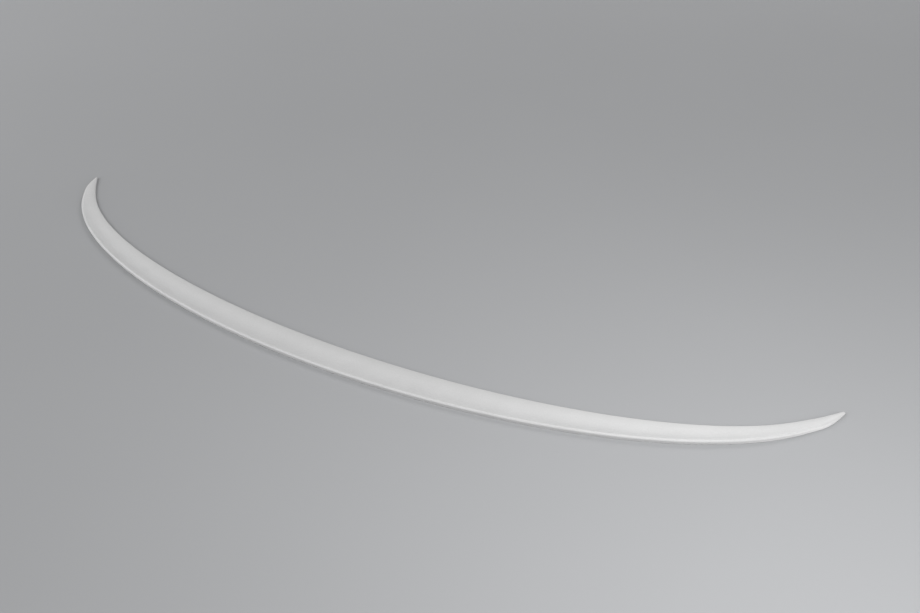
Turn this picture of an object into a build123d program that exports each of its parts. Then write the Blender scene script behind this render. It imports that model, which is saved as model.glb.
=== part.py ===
"""Lip spoiler for the rear edge of a car's boot lid: one moulded strip, bowed in plan, with a raised rear ridge.

X runs across the car, Y towards its front and Z up. The origin is on the underside at mid-span, in the middle
of the land that is taped to the boot lid. Sizes are in millimetres and angles in degrees.
"""
import os
from math import acos, asin, atan, comb, cos, degrees, pi, radians, sin, sqrt, tan
from typing import NamedTuple

from build123d import *

# Trailing edge in plan, an arc of an ellipse
span = 1200.0  # from tip to tip
bow = 226.9  # how far the tips lie ahead of the middle
tip_angle = 82.7  # angle of the ellipse at which each tip ends
tip_sweep = 13.1  # last part of that angle, where the section runs out to the tip
tip_bluntness = 0.17  # share of the section that is left at the very end
tip_fullness = 1.5  # how far the trailing edge swells outwards just before the tip

# Outer section
mid_chord = 45.6  # width at mid-span, from the foot of the rear face to the front edge
tip_chord = 10.8  # width that the taper along the span aims at
ridge_height = 5.4  # ridge above the boot lid
ridge_radius = 2.2  # rounding along the ridge
rear_lean = 6.0  # outward lean of the rear face from upright
front_thickness = 1.6  # thickness of the front edge
front_radius = 1.2  # rounding along the front edge
ridge_steepness = 2.9  # slope of the hollow top beside the ridge, against its mean slope
front_steepness = 0.1  # slope of the hollow top beside the front edge, against its mean slope

# What the section turns into on its way to the tips, before it runs out
fade_start = 45.0  # angle of the ellipse from which the ridge fades
tip_ridge_height = 2.8  # lower ridge
tip_ridge_radius = 4.5  # rounder ridge
tip_layback = 55.0  # how far the rear face turns back from its outward lean
crown_start = 38.0  # angle of the ellipse from which the hollow top turns into a crowned one
tip_ridge_steepness = 0.0  # slope of the crowned top beside the ridge, against its mean slope
tip_front_steepness = 2.0  # slope of the crowned top beside the front edge, against its mean slope

# Cored-out underside
skin = 1.8  # wall between the core and the top
rear_wall = 2.5  # wall behind the core, at the foot
core_width = 13.0  # from the rear wall towards the front
tape_land = 18.0  # strip along the front edge that takes the tape
rib_pitch = 60.0  # distance of the cross ribs across the car
rib_thickness = 1.5  # wall of a cross rib
rib_recess = 0.5  # how far a rib stays clear of the boot lid

# Sections that carry the shape
span_stations = 27  # between the two tip stretches
tip_stations = 8  # in each tip stretch
base_stock = 1.0  # depth below the underside that is cut off flat

semi_span = span / 2 / sin(radians(tip_angle))
semi_bow = bow / (1 - cos(radians(tip_angle)))
tip_start = tip_angle - tip_sweep
taper_rate = degrees(acos(tip_chord / mid_chord)) / tip_angle
setback = mid_chord - tape_land / 2
core_angle = degrees(acos((rear_wall + core_width + tape_land) / mid_chord)) / taper_rate


class LipSection(NamedTuple):
    """Points of the outer section at one place: x inwards from the foot of the rear face, y up."""

    rear_foot: Vector
    rear_top: Vector
    ridge_middle: Vector
    top_curve: list[Vector]
    front_nose: Vector
    front_top: Vector
    front_foot: Vector


def tip_progress(angle: float) -> float:
    """Return 0 along the span and up to 1 at the end of a tip."""
    return max(0.0, (abs(angle) - tip_start) / tip_sweep)


def section_share(angle: float) -> float:
    """Return how much of the full section is left: all of it, then a quarter ellipse down to the blunt tip."""
    return sqrt(1 - (1 - tip_bluntness**2) * tip_progress(angle) ** 2)


def swell(angle: float) -> float:
    """Return how far the trailing edge stands outside its ellipse."""
    return tip_fullness * sin(pi * tip_progress(angle)) ** 2


def chord(angle: float) -> float:
    """Return the width of the section, which tapers as a cosine along the span and runs out in the tip."""
    return mid_chord * cos(radians(taper_rate * angle)) * section_share(angle) + swell(angle)


def section_plane(angle: float) -> Plane:
    """Return the upright plane square to the trailing edge, with its origin at the foot of the rear face."""
    along = Vector(semi_span * cos(radians(angle)), semi_bow * sin(radians(angle))).normalized()
    inwards = Vector(-along.Y, along.X)
    on_ellipse = Vector(semi_span * sin(radians(angle)), semi_bow * (1 - cos(radians(angle))) - setback)
    return Plane(origin=on_ellipse - inwards * swell(angle), x_dir=inwards, z_dir=along)


def ridge_fade(angle: float) -> float:
    """Return 0 along the middle of the span, rising with a square to 1 at the end of a tip."""
    return max(0.0, (abs(angle) - fade_start) / (tip_angle - fade_start)) ** 2


def top_crown(angle: float) -> float:
    """Return 0 where the top is hollow, rising evenly to 1 at the end of a tip, where it is crowned."""
    return max(0.0, (abs(angle) - crown_start) / (tip_angle - crown_start))


def lip_section(angle: float) -> LipSection:
    """Work out the outer section: leaning rear face, round ridge, hollow or crowned top and thin front edge."""
    share = section_share(angle)
    fade = ridge_fade(angle)
    crown = top_crown(angle)
    width = chord(angle)
    full_height = ridge_height + (tip_ridge_height - ridge_height) * fade
    height = front_thickness + (full_height - front_thickness) * share
    ridge_round = (ridge_radius + (tip_ridge_radius - ridge_radius) * fade) * share
    front_round = front_radius * share
    lean = radians(rear_lean - tip_layback * fade * share)
    ridge_center = Vector(
        (ridge_round - (height - ridge_round) * sin(lean)) / cos(lean),
        height - ridge_round,
    )
    mean_slope = (height - front_thickness) / (width - ridge_center.X)
    ridge_drop = atan((ridge_steepness + (tip_ridge_steepness - ridge_steepness) * crown) * mean_slope)
    front_drop = atan((front_steepness + (tip_front_steepness - front_steepness) * crown) * mean_slope)
    ridge_turn = (pi / 2 + lean - ridge_drop) / 2

    top_start = ridge_center + ridge_round * Vector(sin(ridge_drop), cos(ridge_drop))
    front_center = Vector(width - front_round, front_thickness - front_round * cos(front_drop))
    top_end = front_center + front_round * Vector(sin(front_drop), cos(front_drop))
    step = (top_end.X - top_start.X) / 5
    front_turn = (pi / 2 + front_drop) / 2
    return LipSection(
        rear_foot=Vector(base_stock * tan(lean), -base_stock),
        rear_top=ridge_center - ridge_round * Vector(cos(lean), sin(lean)),
        ridge_middle=ridge_center + ridge_round * Vector(-sin(ridge_turn), cos(ridge_turn)),
        top_curve=[
            top_start,
            top_start + step * Vector(1, -tan(ridge_drop)),
            top_start + 2 * step * Vector(1, -tan(ridge_drop)),
            top_end + 2 * step * Vector(-1, tan(front_drop)),
            top_end + step * Vector(-1, tan(front_drop)),
            top_end,
        ],
        front_nose=front_center + front_round * Vector(sin(front_turn), cos(front_turn)),
        front_top=front_center + Vector(front_round, 0),
        front_foot=Vector(width, -base_stock),
    )


def top_height(top_curve: list[Vector], place: float) -> tuple[float, float]:
    """Return the height and the slope of the top at a distance from the foot.

    The curve's points are evenly spaced across the section, so its height is a polynomial of that distance.
    """
    reach = top_curve[5].X - top_curve[0].X
    far = (place - top_curve[0].X) / reach
    y = [point.Y for point in top_curve]
    rise = [after - before for before, after in zip(y, y[1:])]
    height = sum(comb(5, i) * far**i * (1 - far) ** (5 - i) * y[i] for i in range(6))
    slope = 5 / reach * sum(comb(4, i) * far**i * (1 - far) ** (4 - i) * rise[i] for i in range(5))
    return height, slope


def core_ceiling(angle: float) -> list[Vector]:
    """Return the stretch of the top that lies over the core, lowered by the skin."""
    top_curve = lip_section(angle).top_curve
    core_front = rear_wall + core_width
    third = core_width / 3
    rear_height, rear_slope = top_height(top_curve, rear_wall)
    front_height, front_slope = top_height(top_curve, core_front)
    return [
        Vector(rear_wall, rear_height - skin),
        Vector(rear_wall + third, rear_height + rear_slope * third - skin),
        Vector(core_front - third, front_height - front_slope * third - skin),
        Vector(core_front, front_height - skin),
    ]


span_angles = [tip_start * (2 * i / (span_stations - 1) - 1) for i in range(span_stations)]
tip_angles = [tip_start + tip_sweep * sin(pi / 2 * (i + 1) / tip_stations) for i in range(tip_stations)]
lip_angles = [-angle for angle in reversed(tip_angles)] + span_angles + tip_angles
core_angles = [core_angle * (2 * i / (span_stations - 1) - 1) for i in range(span_stations)]
ribs_a_side = int(semi_span * sin(radians(core_angle)) / rib_pitch - 0.5)
rib_angles = [degrees(asin(i * rib_pitch / semi_span)) for i in range(-ribs_a_side, ribs_a_side + 1)]

# Hollow under the ridge, with the cross ribs left standing in it
with BuildPart() as core:
    for angle in core_angles:
        ceiling = core_ceiling(angle)
        with BuildSketch(section_plane(angle)):
            with BuildLine():
                Bezier(*ceiling)
                Polyline(ceiling[3], (ceiling[3].X, -base_stock), (ceiling[0].X, -base_stock), ceiling[0])
            make_face()
    loft()
    with BuildSketch(*(section_plane(angle) for angle in rib_angles)):
        with Locations((0, rib_recess)):
            Rectangle(mid_chord, ridge_height, align=Align.MIN)
    extrude(amount=rib_thickness / 2, both=True, mode=Mode.SUBTRACT)

# The moulding
with BuildPart() as spoiler:
    for angle in lip_angles:
        outer = lip_section(angle)
        with BuildSketch(section_plane(angle)):
            with BuildLine():
                Line(outer.rear_foot, outer.rear_top)
                ThreePointArc(outer.rear_top, outer.ridge_middle, outer.top_curve[0])
                Bezier(*outer.top_curve)
                ThreePointArc(outer.top_curve[5], outer.front_nose, outer.front_top)
                Polyline(outer.front_top, outer.front_foot, outer.rear_foot)
            make_face()
    loft()
    split(bisect_by=Plane.XY, keep=Keep.TOP)
    add(core.part, mode=Mode.SUBTRACT)

spoiler.part.label = "spoiler"
os.makedirs("parts", exist_ok=True)
export_step(spoiler.part, "parts/spoiler.step")
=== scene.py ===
"""Dress a boot-lid lip spoiler: one smooth primed moulding on a pale studio floor.

The camera stands at the photograph's angle. Sizes are in millimetres and angles in degrees unless a name or
a docstring says otherwise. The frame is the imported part's own: X across the car, Y towards its front, Z up,
with the origin on the underside at mid-span.
"""
from __future__ import annotations

import logging
import math
from dataclasses import dataclass, field
from enum import Enum
from typing import Any

import bpy
import numpy as np
from mathutils import Matrix, Vector

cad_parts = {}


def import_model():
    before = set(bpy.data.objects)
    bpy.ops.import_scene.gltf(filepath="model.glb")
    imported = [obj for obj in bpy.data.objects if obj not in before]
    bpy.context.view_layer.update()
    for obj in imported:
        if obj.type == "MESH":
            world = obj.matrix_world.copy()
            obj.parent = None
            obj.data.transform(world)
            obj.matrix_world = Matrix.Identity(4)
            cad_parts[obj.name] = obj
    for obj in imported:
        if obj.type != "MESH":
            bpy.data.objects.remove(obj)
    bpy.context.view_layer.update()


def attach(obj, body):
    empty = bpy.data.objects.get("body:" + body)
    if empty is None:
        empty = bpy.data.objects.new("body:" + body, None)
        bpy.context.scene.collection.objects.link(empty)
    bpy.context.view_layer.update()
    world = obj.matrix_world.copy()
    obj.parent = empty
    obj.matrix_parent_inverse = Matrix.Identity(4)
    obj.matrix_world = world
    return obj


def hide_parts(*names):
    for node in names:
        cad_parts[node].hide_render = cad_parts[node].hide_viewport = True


MM = 0.001
BODY = "root"
NODE = "spoiler"
# Point attribute for primer cover: bare plastic on the underside, and painted shade along the top's front
# margin.
COVER_AND_SHADE = "primer_cover_and_shade"
TOP_DEGREE = 5
# In degrees or millimetres, so that a rounding error doesn't move a station off the wall that it stands on.
SLACK = 1e-6

log = logging.getLogger("lip_spoiler")


def linear(hex_colour: str) -> tuple[float, float, float, float]:
    """Turn an sRGB hex colour into linear light with full alpha, by the sRGB standard's own curve.

    Args:
        hex_colour: colour such as "#d2d2d2".

    Returns:
        Red, green, blue and alpha for a colour socket.
    """
    srgb = np.array([int(hex_colour[i : i + 2], 16) for i in (1, 3, 5)]) / 255
    light = np.where(srgb <= 0.04045, srgb / 12.92, ((srgb + 0.055) / 1.055) ** 2.4)
    return (*map(float, light), 1.0)


def per_metre(pattern_mm: float) -> float:
    """Return the noise scale on Object coordinates, in metres, that gives a pattern of this size."""
    return 1 / (pattern_mm * MM)


def between(
    start: float | np.ndarray, end: float | np.ndarray, share: float | np.ndarray
) -> float | np.ndarray:
    """Return what lies this share of the way from start to end."""
    return start + (end - start) * share


def add_object(name: str, data: bpy.types.ID) -> bpy.types.Object:
    """Put a mesh, a light or a camera into the scene, at the origin.

    Args:
        name: name of the object.
        data: the mesh, light or camera.

    Returns:
        The new object.
    """
    thing = bpy.data.objects.new(name, data)
    bpy.context.scene.collection.objects.link(thing)
    return thing


def empty_tree(owner: bpy.types.Material | bpy.types.World) -> bpy.types.NodeTree:
    """Give a material or a world a node tree with nothing in it yet.

    Args:
        owner: the material or world.

    Returns:
        Its node tree.
    """
    owner.use_nodes = True
    owner.node_tree.nodes.clear()
    return owner.node_tree


def add_node(
    tree: bpy.types.NodeTree,
    kind: str,
    settings: dict[str, Any] | None = None,
    links: dict[str | int, bpy.types.NodeSocket] | None = None,
) -> bpy.types.Node:
    """Add one shader node, with its settings and its links.

    Args:
        tree: node tree that gets the node.
        kind: Blender's type name of the node.
        settings: values by property name or, where the node has no such property, by input name.
        links: output sockets of other nodes, by the name or number of the input that each one feeds.

    Returns:
        The new node.
    """
    node = tree.nodes.new(kind)
    for name, value in (settings or {}).items():
        if name in node.bl_rna.properties:
            setattr(node, name, value)
        else:
            node.inputs[name].default_value = value
    for name, source in (links or {}).items():
        tree.links.new(source, node.inputs[name])
    return node


def seen_directly(tree: bpy.types.NodeTree) -> bpy.types.NodeSocket:
    """Tell what is looked at, straight or in a mirror or through glass, from what only scatters light.

    Args:
        tree: node tree of a material or a world.

    Returns:
        Output that is 1 where it is looked at and 0 where it scatters light.
    """
    path = add_node(tree, "ShaderNodeLightPath").outputs
    seen = path["Is Camera Ray"]
    for way in ("Is Glossy Ray", "Is Transmission Ray"):
        either = add_node(tree, "ShaderNodeMath", {"operation": "MAXIMUM"}, {0: seen, 1: path[way]})
        seen = either.outputs["Value"]
    return seen


@dataclass(frozen=True)
class PrimedAbs:
    """Injection-moulded ABS under a sprayed pale grey primer, flatted but not yet painted.

    The eye sees a neutral, very even pale grey with a soft satin sheen: no sparkle, a faint cloudiness where
    the coat is thicker, and the shallow ripple that sprayed primer keeps. Along the front margin of the top
    the colour is darkened towards bare plastic as painted shade, a little darker towards the front edge. On
    the underside the spray thins out and the greyer plastic shows.
    """

    name: str = "abs_moulded_sprayed_primer"
    primer: str = "#cacaca"
    primer_thick: str = "#e0e0e0"
    bare_plastic_and_shade: str = "#bcbcbb"
    ior: float = 1.5
    roughness: float = 0.46
    roughness_spread: float = 0.05
    cloud_mm: float = 32.0
    cloud_detail: float = 3.0
    # Primer dust is about 0.1 mm across. It is drawn at 2 mm, because anything finer is lost between pixels.
    dust_mm: float = 2.0
    dust_detail: float = 2.0
    dust_share: float = 0.5
    dust_depth: float = 0.03
    ripple_mm: float = 3.5
    ripple_detail: float = 1.0
    ripple_depth: float = 0.12
    # Painted shade along the front margin of the top: its share of the top's width, the cover lost at the
    # front edge, and by what power.
    painted_shade_share: float = 0.38
    painted_shade_depth: float = 0.42
    painted_shade_power: float = 1.5

    def cover_with_shade(self, across: np.ndarray) -> np.ndarray:
        """Work out the top's cover: full, then less by a power towards the front edge, which paints shade
        there.

        Args:
            across: how far across the top each point lies, from 0 at the ridge to 1 at the front edge.

        Returns:
            Cover of each point, 1 where it is full.
        """
        into_margin = np.clip(1 - (1 - across) / self.painted_shade_share, 0, 1)
        return 1 - self.painted_shade_depth * into_margin**self.painted_shade_power

    def material(self) -> bpy.types.Material:
        """Build the primer: cloudy colour, rippled and dusty surface, bare plastic where the spray thins out,
        and painted shade along the top's front margin.

        Returns:
            The finished material.
        """
        material = bpy.data.materials.new(self.name)
        tree = empty_tree(material)
        place = add_node(tree, "ShaderNodeTexCoord").outputs["Object"]
        cover_with_shade = add_node(tree, "ShaderNodeAttribute", {"attribute_name": COVER_AND_SHADE}).outputs["Fac"]
        cloud, dust, ripple = (
            add_node(
                tree, "ShaderNodeTexNoise", {"Scale": per_metre(size), "Detail": detail}, {"Vector": place}
            ).outputs["Fac"]
            for size, detail in (
                (self.cloud_mm, self.cloud_detail),
                (self.dust_mm, self.dust_detail),
                (self.ripple_mm, self.ripple_detail),
            )
        )
        mottle = add_node(
            tree, "ShaderNodeMix", {"data_type": "FLOAT", "Factor": self.dust_share}, {"A": cloud, "B": dust}
        ).outputs["Result"]
        coat = add_node(
            tree,
            "ShaderNodeMixRGB",
            {"Color1": linear(self.primer), "Color2": linear(self.primer_thick)},
            {"Fac": mottle},
        ).outputs["Color"]
        # Cover below 1 turns the colour towards bare plastic: real on the underside, painted shade along the
        # top's front margin.
        colour = add_node(
            tree, "ShaderNodeMixRGB", {"Color1": linear(self.bare_plastic_and_shade)}, {"Fac": cover_with_shade, "Color2": coat}
        ).outputs["Color"]
        roughness = add_node(
            tree,
            "ShaderNodeMapRange",
            {
                "To Min": self.roughness - self.roughness_spread,
                "To Max": self.roughness + self.roughness_spread,
            },
            {"Value": mottle},
        ).outputs["Result"]
        rippled = add_node(
            tree, "ShaderNodeBump", {"Distance": self.ripple_depth * MM}, {"Height": ripple}
        ).outputs["Normal"]
        dusted = add_node(
            tree, "ShaderNodeBump", {"Distance": self.dust_depth * MM}, {"Height": dust, "Normal": rippled}
        ).outputs["Normal"]
        shader = add_node(
            tree,
            "ShaderNodeBsdfPrincipled",
            {"IOR": self.ior},
            {"Base Color": colour, "Roughness": roughness, "Normal": dusted},
        ).outputs["BSDF"]
        add_node(tree, "ShaderNodeOutputMaterial", links={"Surface": shader})
        return material


@dataclass(frozen=True)
class MattFloor:
    """Matt painted studio floor: an even pale grey with no sheen and only the slightest unevenness.

    To the eye, and in a mirror or through glass, it is pale. The light that it scatters back up is that of a
    dark floor, so that the shaded rear face keeps its depth.
    """

    name: str = "floor_matt_paint"
    light_patch: str = "#b1b2b4"
    dark_patch: str = "#aeafb1"
    scattering: str = "#3a3a3b"
    roughness: float = 0.9
    patch_mm: float = 400.0
    patch_detail: float = 2.0

    def material(self) -> bpy.types.Material:
        """Build the floor's paint.

        Returns:
            The finished material.
        """
        material = bpy.data.materials.new(self.name)
        tree = empty_tree(material)
        place = add_node(tree, "ShaderNodeTexCoord").outputs["Object"]
        patches = add_node(
            tree,
            "ShaderNodeTexNoise",
            {"Scale": per_metre(self.patch_mm), "Detail": self.patch_detail},
            {"Vector": place},
        ).outputs["Fac"]
        paint = add_node(
            tree,
            "ShaderNodeMixRGB",
            {"Color1": linear(self.dark_patch), "Color2": linear(self.light_patch)},
            {"Fac": patches},
        ).outputs["Color"]
        colour = add_node(
            tree,
            "ShaderNodeMixRGB",
            {"Color1": linear(self.scattering)},
            {"Fac": seen_directly(tree), "Color2": paint},
        ).outputs["Color"]
        shader = add_node(
            tree, "ShaderNodeBsdfPrincipled", {"Roughness": self.roughness}, {"Base Color": colour}
        ).outputs["BSDF"]
        add_node(tree, "ShaderNodeOutputMaterial", links={"Surface": shader})
        return material


@dataclass(frozen=True)
class LipPlan:
    """Plan of the lip: a trailing edge on an ellipse, and a width that tapers along it into pointed tips.

    A station's angle is the ellipse's own. It is 0 at mid-span and grows towards X.
    """

    span: float = 1200.0
    bow: float = 226.9
    tip_angle: float = 82.7
    tip_sweep: float = 13.1
    # Share of the section that is left at the end of a tip, and how far the edge swells before it.
    tip_bluntness: float = 0.17
    tip_fullness: float = 1.5
    mid_chord: float = 45.6
    tip_chord: float = 10.8
    tape_land: float = 18.0

    @property
    def semi_axes(self) -> tuple[float, float]:
        """Return the ellipse's half length across the car and its half length along it."""
        tip = math.radians(self.tip_angle)
        return self.span / 2 / math.sin(tip), self.bow / (1 - math.cos(tip))

    @property
    def taper_rate(self) -> float:
        """Return how fast the cosine taper turns against the angle of the ellipse."""
        return math.degrees(math.acos(self.tip_chord / self.mid_chord)) / self.tip_angle

    def towards_tip(self, angle: np.ndarray, start: float) -> np.ndarray:
        """Return 0 up to the start angle on either side, rising evenly to 1 at the end of a tip."""
        return np.clip((np.abs(angle) - start) / (self.tip_angle - start), 0, 1)

    def progress(self, angle: np.ndarray) -> np.ndarray:
        """Return 0 along the span, rising to 1 over the sweep of a tip."""
        return self.towards_tip(angle, self.tip_angle - self.tip_sweep)

    def share(self, angle: np.ndarray) -> np.ndarray:
        """Return the share of the section that is left: 1, then a quarter ellipse down to the blunt tip."""
        return np.sqrt(1 - (1 - self.tip_bluntness**2) * self.progress(angle) ** 2)

    def swell(self, angle: np.ndarray) -> np.ndarray:
        """Return how far the trailing edge stands outside its ellipse: a squared sine over each tip."""
        return self.tip_fullness * np.sin(np.pi * self.progress(angle)) ** 2

    def chord(self, angle: np.ndarray) -> np.ndarray:
        """Return the width: a cosine along the span times the share that is left, plus the swell."""
        taper = np.cos(np.radians(self.taper_rate * angle))
        return self.mid_chord * taper * self.share(angle) + self.swell(angle)

    def tangent(self, angle: np.ndarray) -> np.ndarray:
        """Work out the ellipse's tangent: the way that the edge goes in one radian of its angle.

        Args:
            angle: angles of the ellipse, one for each station.

        Returns:
            One plan vector for each station.
        """
        semi_span, semi_bow = self.semi_axes
        turn = np.radians(angle)
        return np.stack([semi_span * np.cos(turn), semi_bow * np.sin(turn)], axis=-1)

    def degrees_per_mm(self, angle: np.ndarray) -> np.ndarray:
        """Return how many degrees of the ellipse one millimetre along the edge takes."""
        return np.degrees(1 / np.linalg.norm(self.tangent(angle), axis=-1))

    def along(self, angle: np.ndarray) -> np.ndarray:
        """Return the unit direction of the trailing edge at each station."""
        tangent = self.tangent(angle)
        return tangent / np.linalg.norm(tangent, axis=-1, keepdims=True)

    def inwards(self, angle: np.ndarray) -> np.ndarray:
        """Return the unit direction from the trailing edge towards the front, square to the edge."""
        along = self.along(angle)
        return np.stack([-along[:, 1], along[:, 0]], axis=-1)

    def foot(self, angle: np.ndarray) -> np.ndarray:
        """Work out the foot of the rear face: the point on the ellipse, moved outwards by the swell.

        Args:
            angle: angles of the ellipse, one for each station.

        Returns:
            One plan point for each station.
        """
        semi_span, semi_bow = self.semi_axes
        turn = np.radians(angle)
        setback = self.mid_chord - self.tape_land / 2
        ellipse = np.stack([semi_span * np.sin(turn), semi_bow * (1 - np.cos(turn)) - setback], axis=-1)
        return ellipse - self.inwards(angle) * self.swell(angle)[:, None]


@dataclass(frozen=True)
class LipSection:
    """Outer section: rear face, round ridge, hollow top and thin rounded front edge.

    The rear face leans outwards along the middle. Towards the tips the ridge gets lower and rounder, the rear
    face lies back, and the hollow top turns into a crowned one.
    """

    ridge_height: float = 5.4
    ridge_radius: float = 2.2
    rear_lean: float = 6.0
    front_thickness: float = 1.6
    front_radius: float = 1.2
    # How steep the top is at its two ends, as multiples of its mean slope.
    ridge_steepness: float = 2.9
    front_steepness: float = 0.1
    fade_start: float = 45.0
    tip_ridge_height: float = 2.8
    tip_ridge_radius: float = 4.5
    tip_layback: float = 55.0
    crown_start: float = 38.0
    tip_ridge_steepness: float = 0.0
    tip_front_steepness: float = 2.0
    rear_points: int = 6
    ridge_points: int = 19
    top_points: int = 44
    nose_points: int = 12

    def fade(self, plan: LipPlan, angle: np.ndarray) -> np.ndarray:
        """Return 0 where the ridge is at its full height, rising with a square to 1 at the end of a tip."""
        return plan.towards_tip(angle, self.fade_start) ** 2

    def crown(self, plan: LipPlan, angle: np.ndarray) -> np.ndarray:
        """Return 0 where the top is hollow, rising evenly to 1 at the end of a tip, where it is crowned."""
        return plan.towards_tip(angle, self.crown_start)

    def outline(self, plan: LipPlan, angle: np.ndarray) -> tuple[np.ndarray, np.ndarray, np.ndarray]:
        """Work out the outer section at every station, from the rear foot over the ridge to the front foot.

        The rear face is a straight line. The ridge is an arc that is tangent to it and to the top. The top is
        a curve of the fifth degree with its six control heights evenly spaced across the section: it falls
        steeply beside the ridge and runs out almost level to the front edge, which is another arc. Near the
        tips it starts level and falls towards the front edge instead.

        Args:
            plan: plan of the lip.
            angle: angles of the ellipse, one for each station.

        Returns:
            Distance inwards and height, as arrays of stations by points, and the top's curve, one row of
            start, reach and six heights for each station.
        """
        width = plan.chord(angle)[:, None]
        share = plan.share(angle)[:, None]
        fade = self.fade(plan, angle)[:, None]
        crown = self.crown(plan, angle)[:, None]
        full_height = between(self.ridge_height, self.tip_ridge_height, fade)
        height = between(self.front_thickness, full_height, share)
        ridge = between(self.ridge_radius, self.tip_ridge_radius, fade) * share
        nose = self.front_radius * share
        lean = np.radians(self.rear_lean - self.tip_layback * fade * share)

        ridge_x = (ridge - (height - ridge) * np.sin(lean)) / np.cos(lean)
        ridge_z = height - ridge
        mean_slope = (height - self.front_thickness) / (width - ridge_x)
        by_ridge = between(self.ridge_steepness, self.tip_ridge_steepness, crown)
        by_front = between(self.front_steepness, self.tip_front_steepness, crown)
        ridge_drop = np.arctan(by_ridge * mean_slope)
        front_drop = np.arctan(by_front * mean_slope)

        ridge_turn = between(np.pi + lean, np.pi / 2 - ridge_drop, np.linspace(0, 1, self.ridge_points))
        arc_x = ridge_x + ridge * np.cos(ridge_turn)
        arc_z = ridge_z + ridge * np.sin(ridge_turn)
        nose_turn = between(np.pi / 2 - front_drop, 0, np.linspace(0, 1, self.nose_points))
        edge_x = width - nose + nose * np.cos(nose_turn)
        edge_z = self.front_thickness - nose * np.cos(front_drop) + nose * np.sin(nose_turn)

        start = arc_x[:, -1:]
        reach = edge_x[:, :1] - start
        steps = reach / TOP_DEGREE * np.arange((TOP_DEGREE + 1) // 2)
        falling = arc_z[:, -1:] - steps * np.tan(ridge_drop)
        levelling = edge_z[:, :1] + steps[:, ::-1] * np.tan(front_drop)
        top = np.hstack([start, reach, falling, levelling])
        top_x = start + reach * np.linspace(0, 1, self.top_points)
        top_z = self.top_height(top, top_x)

        rise = np.linspace(0, 1, self.rear_points)[:-1]
        inward = np.hstack([arc_x[:, :1] * rise, arc_x, top_x[:, 1:-1], edge_x, width])
        up = np.hstack([arc_z[:, :1] * rise, arc_z, top_z[:, 1:-1], edge_z, np.zeros_like(width)])
        return inward, up, top

    @staticmethod
    def top_height(top: np.ndarray, inward: np.ndarray) -> np.ndarray:
        """Work out the height of the top: its six control heights, blended by the share of its reach.

        Args:
            top: start, reach and six heights for each station.
            inward: distances inwards, as an array of stations by points.

        Returns:
            Heights, in the same shape as inward.
        """
        far = ((inward - top[:, :1]) / top[:, 1:2])[..., None]
        powers = np.arange(TOP_DEGREE + 1)
        ways = np.array([math.comb(TOP_DEGREE, power) for power in range(TOP_DEGREE + 1)])
        blend = ways * far**powers * (1 - far) ** powers[::-1]
        return (blend * top[:, None, 2:]).sum(axis=-1)

    def across_top(self) -> np.ndarray:
        """Return how far across the top each outline point lies: 0 up to the ridge, 1 past the front."""
        before = np.zeros(self.rear_points - 1 + self.ridge_points)
        inner = np.linspace(0, 1, self.top_points)[1:-1]
        return np.concatenate([before, inner, np.ones(self.nose_points + 1)])


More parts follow.
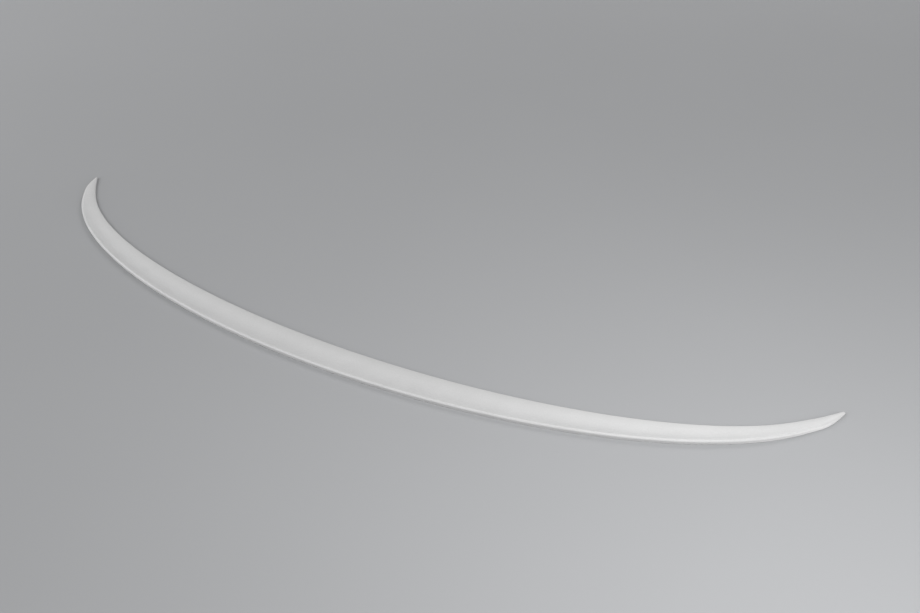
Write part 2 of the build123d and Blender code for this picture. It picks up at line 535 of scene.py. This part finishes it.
@dataclass(frozen=True)
class RibbedCore:
    """Hollow under the ridge, open below, with cross ribs that stop just short of the underside."""

    skin: float = 1.8
    rear_wall: float = 2.5
    core_width: float = 13.0
    rib_pitch: float = 60.0
    rib_thickness: float = 1.5
    rib_recess: float = 0.5
    # Share of a pitch that the outermost ribs keep from the ends of the hollow.
    end_clearance: float = 0.5
    wall_draft: float = 0.12
    land_points: int = 5
    ceiling_points: int = 14

    def end_chord(self, plan: LipPlan) -> float:
        """Return the lip's width where the hollow stops: only the tape land is left in front of it."""
        return self.rear_wall + self.core_width + plan.tape_land

    def end_angle(self, plan: LipPlan) -> float:
        """Return the angle at which the lip has tapered to that width."""
        return math.degrees(math.acos(self.end_chord(plan) / plan.mid_chord)) / plan.taper_rate

    def rib_angles(self, plan: LipPlan) -> np.ndarray:
        """Work out the angles of the ribs, evenly spaced across the car and clear of the hollow's ends.

        Args:
            plan: plan of the lip.

        Returns:
            Angles in rising order.
        """
        semi_span = plan.semi_axes[0]
        half_hollow = semi_span * math.sin(math.radians(self.end_angle(plan)))
        count = int(half_hollow / self.rib_pitch - self.end_clearance)
        return np.degrees(np.arcsin(np.arange(-count, count + 1) * self.rib_pitch / semi_span))

    def wall_angles(self, plan: LipPlan) -> np.ndarray:
        """Work out the stations at both corners of every rib face and of the hollow's two end walls.

        Args:
            plan: plan of the lip.

        Returns:
            Angles in rising order.
        """
        ribs = self.rib_angles(plan)[:, None]
        half = self.rib_thickness / 2
        corners = np.array([-half - self.wall_draft, -half, half, half + self.wall_draft])
        faces = (ribs + corners * plan.degrees_per_mm(ribs)).ravel()
        end = np.array([self.end_angle(plan)])
        beyond = end + self.wall_draft * plan.degrees_per_mm(end)
        return np.sort(np.concatenate([faces, end, beyond, -end, -beyond]))

    def underside(
        self, plan: LipPlan, section: LipSection, angle: np.ndarray, top: np.ndarray
    ) -> tuple[np.ndarray, np.ndarray]:
        """Work out the underside at every station, from the front foot back to the rear foot, both left out.

        The front land and the rear wall's foot are flat. Between them the ceiling is the top lowered by the
        skin, and it is narrower than the opening by the draft of the two walls. In a rib it is the rib's own
        foot, and past the ends of the hollow it is the flat underside.

        Args:
            plan: plan of the lip.
            section: outer section.
            angle: angles of the ellipse, one for each station.
            top: the top's curve, one row for each station.

        Returns:
            Distance inwards and height, as arrays of stations by points.
        """
        width = plan.chord(angle)[:, None]
        narrowing = np.minimum(1.0, width / self.end_chord(plan))
        rear = self.rear_wall * narrowing
        front = (self.rear_wall + self.core_width) * narrowing
        land = between(width, front, np.linspace(0, 1, self.land_points)[1:])
        ceiling = between(
            front - self.wall_draft, rear + self.wall_draft, np.linspace(0, 1, self.ceiling_points)
        )

        hollow = np.abs(angle) <= self.end_angle(plan) + SLACK
        gap = np.abs(angle[:, None] - self.rib_angles(plan)) / plan.degrees_per_mm(angle)[:, None]
        in_rib = np.min(gap, axis=1) <= self.rib_thickness / 2 + SLACK
        lowered = section.top_height(top, ceiling) - self.skin
        height = np.where(in_rib[:, None], np.minimum(self.rib_recess, lowered), lowered)
        height = np.where(hollow[:, None], height, 0.0)

        inward = np.hstack([land, ceiling, rear])
        up = np.hstack([np.zeros_like(land), height, np.zeros_like(rear)])
        return inward, up


@dataclass
class LipSpoiler:
    """The moulding: outer section and ribbed underside carried along the trailing edge, with rounded tips."""

    plan: LipPlan = field(default_factory=LipPlan)
    section: LipSection = field(default_factory=LipSection)
    core: RibbedCore = field(default_factory=RibbedCore)
    finish: PrimedAbs = field(default_factory=PrimedAbs)
    stations: int = 420
    # How much of the spacing follows the sine, which crowds the stations towards the tips.
    tip_crowding: float = 0.7
    # Share of a mean step that the other stations keep from a wall.
    wall_clearance: float = 0.7
    nose_length: float = 1.3
    nose_rings: int = 7
    # Share of the last step that a nose's end point stands out by.
    pole_rise: float = 0.1
    sharp_angle: float = 32.0
    name: str = "spoiler_moulding"

    def station_angles(self) -> np.ndarray:
        """Work out the stations along the edge: a blend of even and sine spacing, plus the walls under it.

        The two end stations leave room for the noses, and others that are too close to a wall give way to it.

        Returns:
            Angles of the ellipse in rising order, from tip to tip.
        """
        tip = self.plan.tip_angle
        last = tip - self.nose_length * float(self.plan.degrees_per_mm(np.array(tip)))
        run = np.linspace(-1, 1, self.stations)
        spaced = last * between(run, np.sin(run * np.pi / 2), self.tip_crowding)
        walls = self.core.wall_angles(self.plan)
        room = np.min(np.abs(spaced[:, None] - walls), axis=1)
        mean_step = 2 * tip / self.stations
        clear = room > self.wall_clearance * mean_step
        clear[[0, -1]] = True
        return np.sort(np.concatenate([spaced[clear], walls]))

    @staticmethod
    def middle(ring: np.ndarray) -> np.ndarray:
        """Return the middle of a ring's points in plan, on the underside."""
        return np.append(ring[:, :2].mean(axis=0), 0.0)

    def rings(self, angle: np.ndarray) -> np.ndarray:
        """Work out the closed section at every station, and the rounded nose past each tip.

        A ring's points are the foot of the rear face, plus the distance inwards along the edge's normal, plus
        the height. In a nose the last ring shrinks with a cosine while it moves along the edge with a sine.

        Args:
            angle: angles of the ellipse, one for each station.

        Returns:
            Points as an array of rings by points by three.
        """
        outer_x, outer_z, top = self.section.outline(self.plan, angle)
        under_x, under_z = self.core.underside(self.plan, self.section, angle, top)
        inward = np.hstack([outer_x, under_x])[..., None]
        height = np.hstack([outer_z, under_z])[..., None]
        plan_points = self.plan.foot(angle)[:, None] + self.plan.inwards(angle)[:, None] * inward
        body = np.concatenate([plan_points, height], axis=-1)

        turn = np.linspace(0, np.pi / 2, self.nose_rings + 2)[1:-1, None, None]
        noses = []
        for end, way in ((0, -1), (-1, 1)):
            middle = self.middle(body[end])
            ahead = np.append(self.plan.along(angle[[end]])[0] * way, 0.0) * self.nose_length
            noses.append(middle + (body[end] - middle) * np.cos(turn) + ahead * np.sin(turn))
        return np.concatenate([noses[0][::-1], body, noses[1]])

    def covers_with_shade(self, angle: np.ndarray) -> np.ndarray:
        """Work out the cover of each point of each ring: primer cover, and painted shade along the top's
        front margin.

        The painted shade along the front margin goes with the hollow of the top and is gone where the top is
        crowned.
        The underside is bare but for its last point, so that the foot of the rear wall is primed right
        across.

        Args:
            angle: angles of the ellipse, one for each station.

        Returns:
            Cover as an array of rings by points. A nose has that of the station beside it.
        """
        shaded_margin = self.finish.cover_with_shade(self.section.across_top())
        outside = between(shaded_margin, 1.0, self.section.crown(self.plan, angle)[:, None])
        below = np.zeros((len(angle), self.core.land_points + self.core.ceiling_points))
        below[:, -1] = 1.0
        return np.pad(np.hstack([outside, below]), ((self.nose_rings, self.nose_rings), (0, 0)), mode="edge")

    def pole(self, outer: np.ndarray, inner: np.ndarray) -> np.ndarray:
        """Return the point that closes a nose: on from the inner ring's middle through the outer ring's."""
        return between(self.middle(inner), self.middle(outer), 1 + self.pole_rise)

    def build(self) -> bpy.types.Object:
        """Make the closed mesh: rings joined by four-sided faces, and a fan to one point at each nose's end.

        Returns:
            The moulding, at the origin, in metres.
        """
        angle = self.station_angles()
        points = self.rings(angle)
        rings, around = points.shape[:2]
        number = np.arange(rings * around).reshape(rings, around)
        following = np.roll(number, -1, axis=1)
        sides = np.stack([number[:-1], number[1:], following[1:], following[:-1]], axis=-1).reshape(-1, 4)

        poles = np.stack([self.pole(points[0], points[1]), self.pole(points[-1], points[-2])])
        start_pole, end_pole = (np.full(around, rings * around + end) for end in (0, 1))
        start_fan = np.stack([number[0], following[0], start_pole], axis=-1)
        end_fan = np.stack([following[-1], number[-1], end_pole], axis=-1)

        vertices = np.concatenate([points.reshape(-1, 3), poles]) * MM
        mesh = bpy.data.meshes.new(self.name)
        mesh.from_pydata(vertices.tolist(), [], sides.tolist() + start_fan.tolist() + end_fan.tolist())
        # The cover also darkens the top's front margin as painted shade.
        cover_with_shade = np.append(self.covers_with_shade(angle).ravel(), np.ones(len(poles)))
        mesh.attributes.new(COVER_AND_SHADE, "FLOAT", "POINT").data.foreach_set("value", cover_with_shade.astype(np.float32))
        mesh.shade_smooth()
        mesh.set_sharp_from_angle(angle=math.radians(self.sharp_angle))
        mesh.update()
        return add_object(self.name, mesh)

    def dress(self, moulding: bpy.types.Object) -> None:
        """Give the moulding its primer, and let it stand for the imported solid.

        Args:
            moulding: the mesh object that build made.
        """
        moulding.data.materials.append(self.finish.material())
        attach(moulding, BODY)
        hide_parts(NODE)


@dataclass(frozen=True)
class SoftBox:
    """A square soft light: its place, its side, its power in watts and the point that it faces."""

    place: tuple[float, float, float]
    side: float
    watts: float
    target: tuple[float, float, float] = (0.0, 60.0, 0.0)


class Lamp(Enum):
    """The studio's soft lights. Five stand far off, and the near one brightens the lip's right half."""

    REAR_LEFT = SoftBox(place=(-1930.0, -3290.0, 1040.0), side=1600.0, watts=76.0)
    LEFT = SoftBox(place=(-3410.0, -1180.0, 1690.0), side=1600.0, watts=57.0)
    FRONT = SoftBox(place=(0.0, 3340.0, 2290.0), side=1600.0, watts=44.0)
    FRONT_LEFT = SoftBox(place=(-2890.0, 2090.0, 1880.0), side=1600.0, watts=21.0)
    RIGHT = SoftBox(place=(2900.0, 60.0, 780.0), side=1200.0, watts=38.0)
    RIGHT_NEAR = SoftBox(place=(750.0, -250.0, 700.0), side=600.0, watts=4.4, target=(450.0, 100.0, 0.0))


@dataclass(frozen=True)
class Studio:
    """Pale floor in front of a pale backdrop, soft lights and a trace of ambient light."""

    floor_finish: MattFloor = field(default_factory=MattFloor)
    floor_name: str = "studio_floor"
    floor_middle: tuple[float, float] = (-200.0, 300.0)
    floor_half: float = 2000.0
    floor_gap: float = 0.3
    backdrop: str = "#a9aaac"
    ambient: str = "#ffffff"
    ambient_strength: float = 0.01

    def lay_floor(self) -> bpy.types.Object:
        """Lay the floor: one flat square with its corners half its side from its middle, just under the lip.

        Returns:
            The floor.
        """
        corners = np.array([(-1, -1, 0), (1, -1, 0), (1, 1, 0), (-1, 1, 0)]) * self.floor_half
        corners = (corners + np.array([*self.floor_middle, -self.floor_gap])) * MM
        mesh = bpy.data.meshes.new(self.floor_name)
        mesh.from_pydata(corners.tolist(), [], [(0, 1, 2, 3)])
        mesh.materials.append(self.floor_finish.material())
        floor = add_object(self.floor_name, mesh)
        return floor

    def hang_lamps(self) -> None:
        """Hang the soft lights and turn each one towards the lip."""
        for lamp in Lamp:
            box = lamp.value
            light = bpy.data.lights.new(lamp.name.lower(), "AREA")
            light.shape = "SQUARE"
            light.size = box.side * MM
            light.energy = box.watts
            place = Vector(box.place) * MM
            facing = (Vector(box.target) * MM - place).to_track_quat("-Z", "Y").to_matrix().to_4x4()
            add_object(lamp.name.lower(), light).matrix_world = Matrix.Translation(place) @ facing

    def fill_with_light(self) -> None:
        """Surround the floor with the pale backdrop, let in the ambient light and show colours as written."""
        world = bpy.data.worlds.new("studio")
        tree = empty_tree(world)
        lighting = add_node(
            tree, "ShaderNodeBackground", {"Color": linear(self.ambient), "Strength": self.ambient_strength}
        ).outputs["Background"]
        backdrop = add_node(
            tree, "ShaderNodeBackground", {"Color": linear(self.backdrop)}
        ).outputs["Background"]
        room = add_node(
            tree, "ShaderNodeMixShader", links={"Fac": seen_directly(tree), 1: lighting, 2: backdrop}
        ).outputs["Shader"]
        add_node(tree, "ShaderNodeOutputWorld", links={"Surface": room})
        bpy.context.scene.world = world
        bpy.context.scene.view_settings.view_transform = "Standard"


@dataclass(frozen=True)
class PhotoCamera:
    """Camera at the photograph's viewing angle, with its focal length and the image's width in pixels."""

    place: tuple[float, float, float] = (592.8, -694.9, 687.5)
    azimuth: float = 29.254
    elevation: float = 35.019
    focal_px: float = 900.0
    image_width_px: float = 920.0
    sensor_mm: float = 36.0
    name: str = "photo_camera"

    def set_up(self) -> bpy.types.Object:
        """Place the camera: its own Z axis points back along the line of sight, and its X axis stays level.

        Returns:
            The scene's camera.
        """
        turn = math.radians(self.azimuth)
        rise = math.radians(self.elevation)
        back = Vector((math.sin(turn) * math.cos(rise), -math.cos(turn) * math.cos(rise), math.sin(rise)))
        right = Vector((math.cos(turn), math.sin(turn), 0))
        axes = Matrix((right, back.cross(right), back)).transposed().to_4x4()
        data = bpy.data.cameras.new(self.name)
        data.sensor_width = self.sensor_mm
        data.lens = self.focal_px / self.image_width_px * self.sensor_mm
        camera = add_object(self.name, data)
        camera.matrix_world = Matrix.Translation(Vector(self.place) * MM) @ axes
        bpy.context.scene.camera = camera
        return camera


def main() -> None:
    """Load the frame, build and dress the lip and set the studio."""
    logging.basicConfig(level=logging.INFO, format="%(name)s: %(message)s")
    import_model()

    spoiler = LipSpoiler()
    moulding = spoiler.build()
    spoiler.dress(moulding)
    mesh = moulding.data
    log.info("%s: %d vertices, %d faces", moulding.name, len(mesh.vertices), len(mesh.polygons))

    studio = Studio()
    floor = studio.lay_floor()
    studio.hang_lamps()
    studio.fill_with_light()
    log.info("%s and %d soft lights", floor.name, len(Lamp))
    camera = PhotoCamera().set_up()
    log.info("%s: lens %.2f mm", camera.name, camera.data.lens)

    bpy.context.view_layer.update()


if __name__ == "__main__":
    main()
